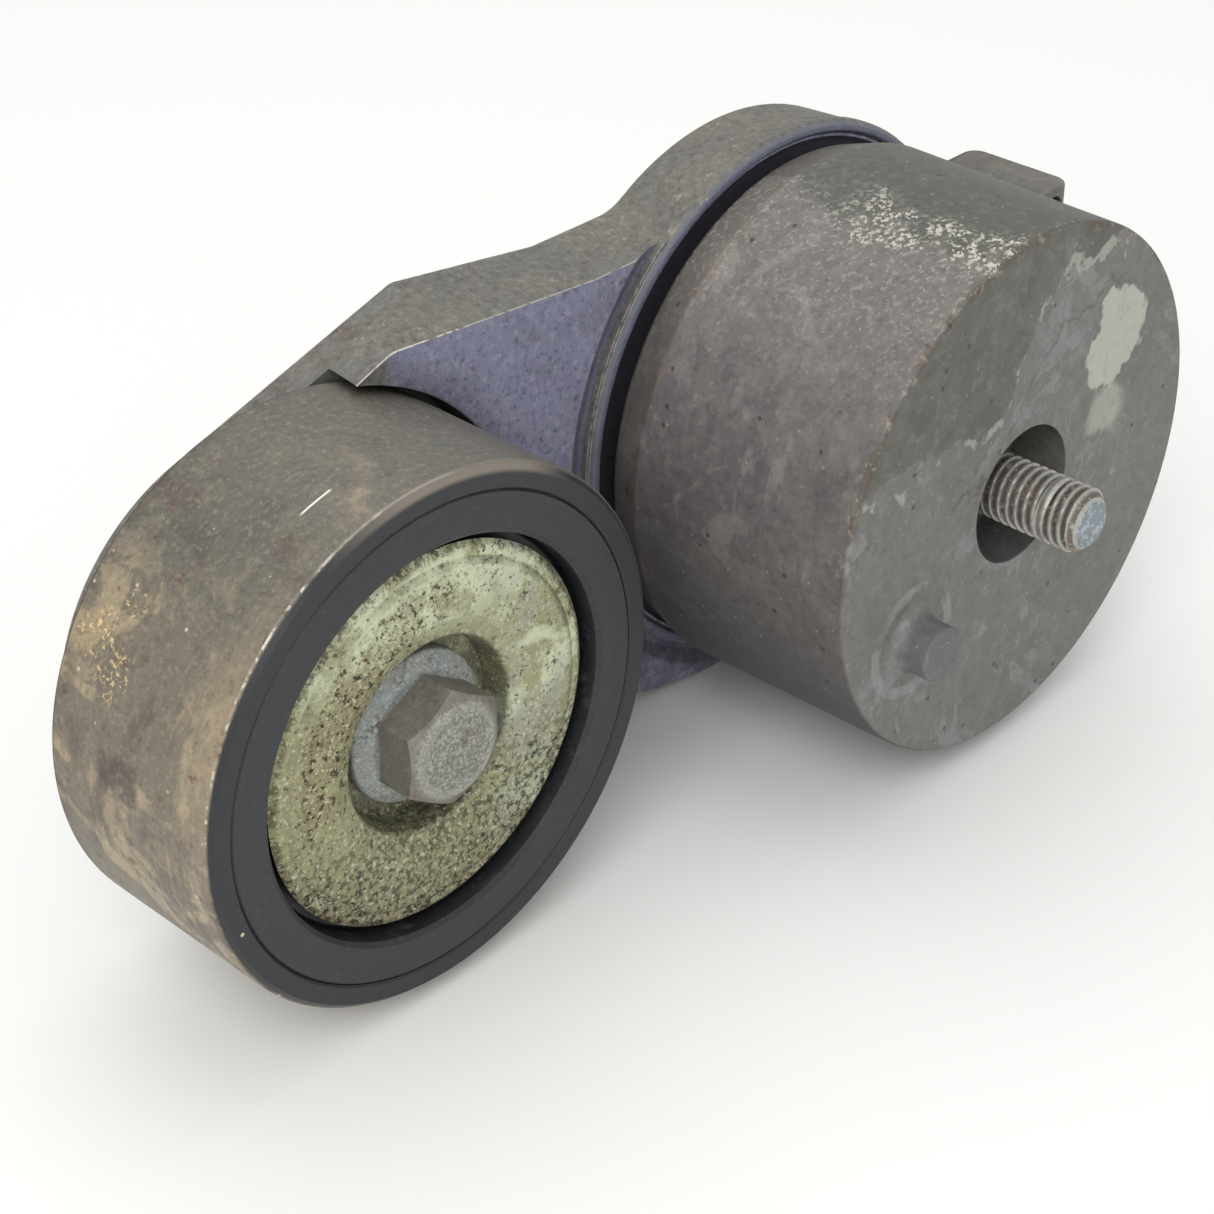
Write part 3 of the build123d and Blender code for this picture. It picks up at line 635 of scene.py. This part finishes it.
def threaded_bolt_finish(look):
    """Rolled thread, zinc plated: dull silver crests, rust and white salts in the valleys."""
    s = Surface("zinc_plated_thread")
    fine = s.grain(0.5, 61.0, detail=3.0, rough=0.75)
    mid = s.grain(2.0, 62.0, detail=4.0)
    salts = s.grain(0.9, 63.0, detail=3.0)
    valley = s.both(s.step(s.radius, 4.80, 4.35), s.step(s.radius, 3.9, 4.05))
    tip = s.step(s.height, BOLT_LOW.y + 0.3, BOLT_LOW.y + 0.05)
    rust = s.step(mid, 0.48, 0.58)
    # painted shade: the thread darkens where it goes into the case
    painted_hole_shade = s.step(s.height, -1.0, 6.0)
    colour = s.layered(look.thread, [
        (mid, 0.40, "a09e97"),
        (valley, 0.75, "4b463f"),
        (s.both(rust, s.either(valley, 0.35)), 0.55, "6b5040"),
        (s.both(s.step(salts, 0.56, 0.62), s.either(valley, 0.45)), 0.60, "c2c1b9"),
        (tip, 0.65, "647686"),
        (s.both(tip, s.step(salts, 0.50, 0.58)), 0.55, "b4c3cf"),
        # painted shade at the case
        (painted_hole_shade, 0.50, "45403a"),
        (s.step(fine, 0.44, 0.34), 0.35, "3b3733"),
    ])
    roughness = s.levels(0.32, [(fine, 0.2), (valley, 0.2)])
    metallic = s.levels(0.70, [(s.both(rust, valley), -0.5), (salts, -0.2)])
    return s.finish(colour, roughness, s.relief([(fine, 0.03)]), metallic)


def turned_steel_finish():
    """Free-cutting steel, turned: fine rings from the tool under a film of old oil."""
    s = Surface("turned_steel")
    rings = s.rings(0.5, 71.0)
    film = s.patches(6.0, 72.0, 0.46, 0.15)
    blot = s.patches(2.0, 73.0, 0.58, 0.06)
    colour = s.layered(linear("75736f")[:3], [(rings, 0.35, "8f8d88"), (film, 0.45, "55493b"),
                                              (blot, 0.45, "433a31")])
    return s.finish(colour, s.levels(0.34, [(rings, 0.12), (film, 0.15)]),
                    s.relief([(rings, 0.01)]), 0.80)


def spring_steel_finish():
    """Spring steel, oil blackened: near black, with a faint brown bloom."""
    s = Surface("oil_blackened_spring_steel")
    fine = s.grain(0.6, 81.0)
    bloom = s.patches(4.0, 82.0, 0.52, 0.1)
    colour = s.layered(linear("2c2c2e")[:3], [(fine, 0.3, "45454a"), (bloom, 0.4, "4a3b30")])
    return s.finish(colour, s.levels(0.40, [(fine, 0.15)]), s.relief([(fine, 0.01)]), 0.6)


def nylon_finish():
    """Glass-filled nylon, moulded: dull near-black with a slight surface ripple."""
    s = Surface("moulded_nylon")
    ripple = s.grain(3.0, 91.0)
    fine = s.grain(0.4, 92.0)
    colour = s.layered(linear("2b2926")[:3], [(ripple, 0.4, "3a3733"),
                                              (s.step(fine, 0.55, 0.7), 0.2, "55514b")])
    return s.finish(colour, s.levels(0.50, [(fine, 0.12)]),
                    s.relief([(fine, 0.008), (ripple, 0.02)]))


def bearing_steel_finish():
    """Bearing steel, hardened and ground: bright, with hair-fine rings and a trace of grease."""
    s = Surface("ground_bearing_steel", PULLEY_AXIS)
    rings = s.rings(0.35, 101.0)
    grease = s.patches(5.0, 102.0, 0.50, 0.12)
    colour = s.layered(linear("a8a7a4")[:3], [(rings, 0.25, "bdbcb8"), (grease, 0.35, "7a6f5d")])
    return s.finish(colour, s.levels(0.20, [(rings, 0.08), (grease, 0.2)]),
                    s.relief([(rings, 0.004)]), 0.95)


def rubber_finish():
    """Nitrile rubber, moulded: matt black with a fine dusty bloom."""
    s = Surface("moulded_nitrile_rubber", PULLEY_AXIS)
    fine = s.grain(0.5, 111.0)
    dust = s.patches(4.0, 112.0, 0.52, 0.12)
    colour = s.layered(linear("1c1c1c")[:3], [(fine, 0.3, "2a2a29"), (dust, 0.35, "4d4a44")])
    return s.finish(colour, s.levels(0.62, [(fine, 0.15), (dust, 0.1)]), s.relief([(fine, 0.01)]))


# ---- the mounting bolt's thread ----------------------------------------------------------------
def thread_tree():
    """Geometry Nodes: a rod whose surface is a helical thread, with a chamfered tip."""
    tree = bpy.data.node_groups.new("rolled_thread", "GeometryNodeTree")
    face = tree.interface
    face.new_socket("Geometry", in_out="INPUT", socket_type="NodeSocketGeometry")
    face.new_socket("Geometry", in_out="OUTPUT", socket_type="NodeSocketGeometry")
    for name in ("Crest Radius", "Depth", "Pitch", "Tip Radius", "Low", "High", "Land Low",
                 "Land High"):
        face.new_socket(name, in_out="INPUT", socket_type="NodeSocketFloat")
    for name in ("Segments", "Rows"):
        face.new_socket(name, in_out="INPUT", socket_type="NodeSocketInt")
    face.new_socket("Material", in_out="INPUT", socket_type="NodeSocketMaterial")
    given = add(tree, "NodeGroupInput").outputs

    def number(operation, first, second=0.0, third=0.0):
        return add(tree, "ShaderNodeMath", {0: first, 1: second, 2: third},
                   operation=operation).outputs[0]

    sheet = add(tree, "GeometryNodeMeshGrid", {"Size X": 1.0, "Size Y": 1.0,
                                               "Vertices X": given["Segments"],
                                               "Vertices Y": given["Rows"]})
    place = add(tree, "GeometryNodeInputPosition").outputs[0]
    u, v = add(tree, "ShaderNodeSeparateXYZ", {0: place}).outputs[:2]
    turn = number("ADD", u, 0.5)
    height = number("MULTIPLY_ADD", number("ADD", v, 0.5),
                    number("SUBTRACT", given["High"], given["Low"]), given["Low"])
    winding = number("ADD", number("DIVIDE", height, given["Pitch"]), turn)
    phase = number("FRACT", winding)
    ridge = number("MULTIPLY", number("ABSOLUTE", number("SUBTRACT", phase, 0.5)), 2.0)
    valley = add(tree, "ShaderNodeMapRange", {"Value": ridge, "From Min": CREST_EDGE,
                                                "From Max": ROOT_EDGE},
                 interpolation_type="SMOOTHERSTEP").outputs[0]
    in_land = number("MULTIPLY", number("GREATER_THAN", height, given["Land Low"]),
                     number("LESS_THAN", height, given["Land High"]))
    cut = number("MULTIPLY", valley, number("MULTIPLY_ADD", in_land, -LAND_FILL, 1.0))
    threaded = number("MULTIPLY_ADD", cut, number("MULTIPLY", given["Depth"], -1.0),
                      given["Crest Radius"])
    chamfered = number("ADD", given["Tip Radius"], number("SUBTRACT", height, given["Low"]))
    radius = number("MINIMUM", threaded, chamfered)
    angle = number("MULTIPLY", turn, 2 * math.pi)
    x = number("MULTIPLY", radius, number("COSINE", angle))
    z = number("MULTIPLY", radius, number("SINE", angle))
    spot = add(tree, "ShaderNodeCombineXYZ", {0: x, 1: height, 2: z})
    rolled = add(tree, "GeometryNodeSetPosition", {"Geometry": sheet.outputs["Mesh"],
                                                   "Position": spot.outputs[0]})
    closed = add(tree, "GeometryNodeMergeByDistance", {"Geometry": rolled.outputs[0],
                                                       "Distance": 0.002 * MM})
    real = add(tree, "GeometryNodeRealizeInstances", {"Geometry": closed.outputs[0]})
    coated = add(tree, "GeometryNodeSetMaterial", {"Geometry": real.outputs[0],
                                                   "Material": given["Material"]})
    add(tree, "NodeGroupOutput", {"Geometry": coated.outputs[0]})
    return tree


def mesh_object(name, points, faces, material):
    """A new object in the scene, of points in metres and faces."""
    mesh = bpy.data.meshes.new(name)
    mesh.from_pydata(points, [], faces)
    mesh.materials.append(material)
    piece = bpy.data.objects.new(name, mesh)
    bpy.context.scene.collection.objects.link(piece)
    return piece


def spun(profile, segments, shape=None):
    """Points and faces of a profile of (radius, height) in mm turned about Y, open at its ends.
    shape(radius, angle) may press a radius inwards, as a hexagon does."""
    points, faces = [], []
    for radius, height in profile:
        for k in range(segments):
            angle = 2 * math.pi * k / segments
            r = shape(radius, angle) if shape else radius
            points.append((r * math.cos(angle) * MM, height * MM, r * math.sin(angle) * MM))
    for row in range(len(profile) - 1):
        for k in range(segments):
            after = (k + 1) % segments
            a, b = row * segments, (row + 1) * segments
            faces.append((a + k, b + k, b + after, a + after))
    return points, faces


def tidy_normals(mesh):
    """Joins doubled points, turns every face outwards and shades smooth up to a sharp edge."""
    shell = bmesh.new()
    shell.from_mesh(mesh)
    bmesh.ops.remove_doubles(shell, verts=shell.verts, dist=0.001 * MM)
    bmesh.ops.recalc_face_normals(shell, faces=shell.faces)
    for edge in shell.edges:
        if len(edge.link_faces) == 2:
            edge.smooth = edge.calc_face_angle(0.0) < SHARP_ANGLE
    for face in shell.faces:
        face.smooth = True
    shell.to_mesh(mesh)
    shell.free()


# ---- properties --------------------------------------------------------------------------------
class TensionerThread(bpy.types.PropertyGroup):
    """Sizes of the mounting bolt's thread"""
    crest_radius: FloatProperty(name="Crest radius", description="Radius over the thread's crests",
                                default=4.98 * MM, unit="LENGTH", precision=5)
    pitch: FloatProperty(name="Pitch", description="Distance from one crest to the next",
                         default=1.5 * MM, unit="LENGTH", precision=5)
    tip_radius: FloatProperty(name="Tip radius", description="Radius of the flat face at the tip",
                              default=3.35 * MM, unit="LENGTH", precision=5)
    threaded_to: FloatProperty(name="Threaded to", description="Height where the thread ends",
                               default=18.0 * MM, unit="LENGTH", precision=5)
    segments: IntProperty(name="Segments", description="Points round the thread", default=96,
                          min=24, max=256)


def colour_property(name, description, hex_colour):
    """A colour to pick in the panel, with its default given as sRGB hex."""
    return FloatVectorProperty(name=name, description=description, subtype="COLOR", min=0, max=1,
                               default=linear(hex_colour)[:3])


class TensionerLook(bpy.types.PropertyGroup):
    """Colours of the finishes and strength of the light"""
    case: colour_property("Case", "Main colour of the cast case", "73706c")
    arm: colour_property("Arm", "Main colour of the cast arm", "6c6a64")
    tread: colour_property("Tread", "Main colour of the worn pulley tread", "7e7768")
    insert: colour_property("Insert", "Colour of the black pulley face", "1e2023")
    shield: colour_property("Shield", "Main colour of the yellow zinc dust shields", "979672")
    bolt: colour_property("Bolts", "Main colour of the zinc plated bolts", "838079")
    thread: colour_property("Thread", "Main colour of the rolled thread", "b2b1aa")
    floor: colour_property("Floor", "Colour of the floor", "efefed")
    sky_strength: FloatProperty(name="Sky", description="Strength of the even light", default=0.80,
                                min=0, max=5)
    key_power: FloatProperty(name="Key light", description="Power of the large soft light",
                             default=3.4, min=0, unit="POWER")


# ---- operators ---------------------------------------------------------------------------------
class TENSIONER_OT_castings(bpy.types.Operator):
    """Gives the case and the arm their weathered die-cast aluminium"""
    bl_idname = "tensioner.castings"
    bl_label = "Castings"

    def execute(self, context):
        look = context.scene.tensioner_look
        give(cast_case_finish(look), "spring_case")
        give(cast_arm_finish(look), "tensioner_arm")
        return {"FINISHED"}


class TENSIONER_OT_pulley(bpy.types.Operator):
    """Gives the pulley, its shields and its bearing their finishes"""
    bl_idname = "tensioner.pulley"
    bl_label = "Pulley"

    def execute(self, context):
        look = context.scene.tensioner_look
        give(worn_rim_finish(look), "pulley_rim")
        give(black_insert_finish(look), "pulley_insert")
        give(yellow_zinc_finish(look), "dust_shield", "rear_dust_shield")
        give(zinc_bolt_finish(look), "pulley_bolt")
        give(bearing_steel_finish(), "bearing_inner_ring", "bearing_outer_ring", "front_balls",
             "rear_balls")
        give(rubber_finish(), "front_seal", "rear_seal")
        return {"FINISHED"}


class TENSIONER_OT_inner_parts(bpy.types.Operator):
    """Gives the pivot, springs and bushings inside the case their finishes"""
    bl_idname = "tensioner.inner_parts"
    bl_label = "Inner parts"

    def execute(self, context):
        give(turned_steel_finish(), "pivot_tube", "end_plate", "bearing_spacer")
        give(spring_steel_finish(), "torsion_spring", "damper_spring", "snap_ring")
        give(nylon_finish(), "pivot_bushing", "thrust_washer", "damper_band", "front_cage",
             "rear_cage")
        return {"FINISHED"}


class TENSIONER_OT_torsion_spring(bpy.types.Operator):
    """Copies the torsion spring's mesh into a new object in its place and hides the imported one"""
    bl_idname = "tensioner.torsion_spring"
    bl_label = "Torsion spring"

    def execute(self, context):
        node = frame["nodes"]["torsion_spring"]
        spring = bpy.data.objects.new("winding_torsion_spring", node.data.copy())
        context.scene.collection.objects.link(spring)
        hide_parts("torsion_spring")
        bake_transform(spring)
        return {"FINISHED"}


class TENSIONER_OT_mounting_bolt(bpy.types.Operator):
    """Builds the mounting bolt with a real helical thread and its flange head"""
    bl_idname = "tensioner.mounting_bolt"
    bl_label = "Mounting bolt"

    def execute(self, context):
        sizes = context.scene.tensioner_thread
        material = threaded_bolt_finish(context.scene.tensioner_look)
        carrier = mesh_object("thread_carrier", [(0, 0, 0)], [], material)
        modifier = carrier.modifiers.new("Thread", "NODES")
        modifier.node_group = thread_tree()
        values = {
            "Crest Radius": sizes.crest_radius, "Depth": THREAD_DEPTH * sizes.pitch,
            "Pitch": sizes.pitch, "Tip Radius": sizes.tip_radius, "Low": BOLT_LOW.y * MM,
            "High": sizes.threaded_to, "Land Low": LAND[0] * MM, "Land High": LAND[1] * MM,
            "Segments": sizes.segments + 1, "Rows": THREAD_ROWS, "Material": material,
        }
        for item in modifier.node_group.interface.items_tree:
            if item.in_out == "INPUT" and item.name in values:
                modifier[item.identifier] = values[item.name]
        depsgraph = context.evaluated_depsgraph_get()
        thread = bpy.data.meshes.new_from_object(carrier.evaluated_get(depsgraph))
        bpy.data.objects.remove(carrier)

        tip = BOLT_LOW.y
        tip_cap = spun([(CLOSED_R, tip), (1.8, tip), (sizes.tip_radius / MM, tip)],
                       sizes.segments)
        end = BOLT_HIGH.y
        seat = end - HEAD_H
        shank_low = sizes.threaded_to / MM
        shank = [(SHANK_R - 0.3, shank_low - 0.4), (SHANK_R, shank_low), (SHANK_R, seat),
                 (FLANGE_R - 0.3, seat), (FLANGE_R, seat + 0.4), (FLANGE_R, seat + 1.1),
                 (FLANGE_R - 0.3, seat + 1.6), (8.4, seat + 2.8)]
        corner = HALF_FLATS / math.cos(SIXTH_TURN / 2)

        def hexagon(radius, angle):
            spread = (angle + SIXTH_TURN / 2) % SIXTH_TURN - SIXTH_TURN / 2
            return min(radius, HALF_FLATS / math.cos(spread))

        head = [(corner, seat + 2.6)]
        for k in range(CROWN_ROWS + 1):
            share = k / CROWN_ROWS
            head.append((corner - share * (corner - HEX_FACE_R), end - (1 - share) * HEX_CROWN))
        head += [(3.0, end), (CLOSED_R, end)]
        pieces = [tip_cap, spun(shank, sizes.segments), spun(head, sizes.segments, hexagon)]
        points, faces = [], []
        for piece_points, piece_faces in pieces:
            first = len(points)
            points += piece_points
            faces += [tuple(first + i for i in face) for face in piece_faces]
        first = len(points)
        points += [tuple(v.co) for v in thread.vertices]
        faces += [tuple(first + i for i in p.vertices) for p in thread.polygons]
        bolt = mesh_object("threaded_mounting_bolt", points, faces, material)
        tidy_normals(bolt.data)
        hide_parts("mounting_bolt")
        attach(bolt, "mounting_bolt")
        return {"FINISHED"}


class TENSIONER_OT_stage(bpy.types.Operator):
    """Sets up the pale floor, the soft lights and the camera"""
    bl_idname = "tensioner.stage"
    bl_label = "Stage"

    def execute(self, context):
        look = context.scene.tensioner_look
        low = CAD_BOX[0]
        floor_material = bpy.data.materials.new("pale_floor")
        floor_material.use_nodes = True
        tree = floor_material.node_tree
        shader = tree.nodes["Principled BSDF"]
        shader.inputs["Base Color"].default_value = (*look.floor, 1.0)
        shader.inputs["Roughness"].default_value = 0.9
        sides = ((-1, -1), (1, -1), (1, 1), (-1, 1))
        corners = [(x * FLOOR_REACH, y * FLOOR_REACH, low.z) for x, y in sides]
        floor = mesh_object("floor", corners, [(0, 1, 2, 3)], floor_material)

        world = bpy.data.worlds.new("soft_sky")
        context.scene.world = world
        world.use_nodes = True
        world.node_tree.nodes["Background"].inputs["Color"].default_value = (1.0, 1.0, 1.0, 1.0)
        world.node_tree.nodes["Background"].inputs["Strength"].default_value = look.sky_strength

        for name, offset, size, share in LIGHTS:
            lamp = bpy.data.lights.new(name, "AREA")
            lamp.shape = "DISK"
            lamp.size = size
            lamp.energy = look.key_power * share
            seat = bpy.data.objects.new(name, lamp)
            seat.location = MIDDLE + Vector(offset)
            seat.rotation_mode = "QUATERNION"
            seat.rotation_quaternion = (-Vector(offset)).to_track_quat("-Z", "Y")
            context.scene.collection.objects.link(seat)

        context.scene.view_settings.view_transform = "Standard"
        level = math.cos(CAMERA_ELEVATION)
        back = Vector((math.sin(CAMERA_AZIMUTH) * level, -math.cos(CAMERA_AZIMUTH) * level,
                       math.sin(CAMERA_ELEVATION)))
        lens = bpy.data.cameras.new("camera")
        lens.sensor_width = CAMERA_SENSOR
        lens.lens = CAMERA_LENS
        lens.shift_x, lens.shift_y = CAMERA_SHIFT
        lens.clip_start, lens.clip_end = 0.01, 20.0
        camera = bpy.data.objects.new("camera", lens)
        camera.location = CAMERA_AT
        camera.rotation_mode = "QUATERNION"
        camera.rotation_quaternion = (-back).to_track_quat("-Z", "Y")
        context.scene.collection.objects.link(camera)
        context.scene.camera = camera
        return {"FINISHED"}


class TENSIONER_PT_panel(bpy.types.Panel):
    """Lists the tensioner's sizes, colours and build steps"""
    bl_idname = "TENSIONER_PT_panel"
    bl_label = "Belt tensioner"
    bl_space_type = "VIEW_3D"
    bl_region_type = "UI"
    bl_category = "Tensioner"

    def draw(self, context):
        for group in (context.scene.tensioner_thread, context.scene.tensioner_look):
            for name in group.bl_rna.properties.keys():
                if name not in ("rna_type", "name"):
                    self.layout.prop(group, name)
        for operator in OPERATORS:
            self.layout.operator(operator.bl_idname)


OPERATORS = (TENSIONER_OT_castings, TENSIONER_OT_pulley, TENSIONER_OT_inner_parts,
             TENSIONER_OT_torsion_spring, TENSIONER_OT_mounting_bolt, TENSIONER_OT_stage)
CLASSES = (TensionerThread, TensionerLook, *OPERATORS, TENSIONER_PT_panel)


def register():
    """Adds the classes and the scene's properties to Blender."""
    for made in CLASSES:
        bpy.utils.register_class(made)
    bpy.types.Scene.tensioner_thread = PointerProperty(type=TensionerThread)
    bpy.types.Scene.tensioner_look = PointerProperty(type=TensionerLook)


def unregister():
    """Takes them out again."""
    del bpy.types.Scene.tensioner_thread, bpy.types.Scene.tensioner_look
    for made in reversed(CLASSES):
        bpy.utils.unregister_class(made)


def main():
    register()
    for operator in OPERATORS:
        group, name = operator.bl_idname.split(".")
        getattr(getattr(bpy.ops, group), name)()


if __name__ == "__main__":
    main()
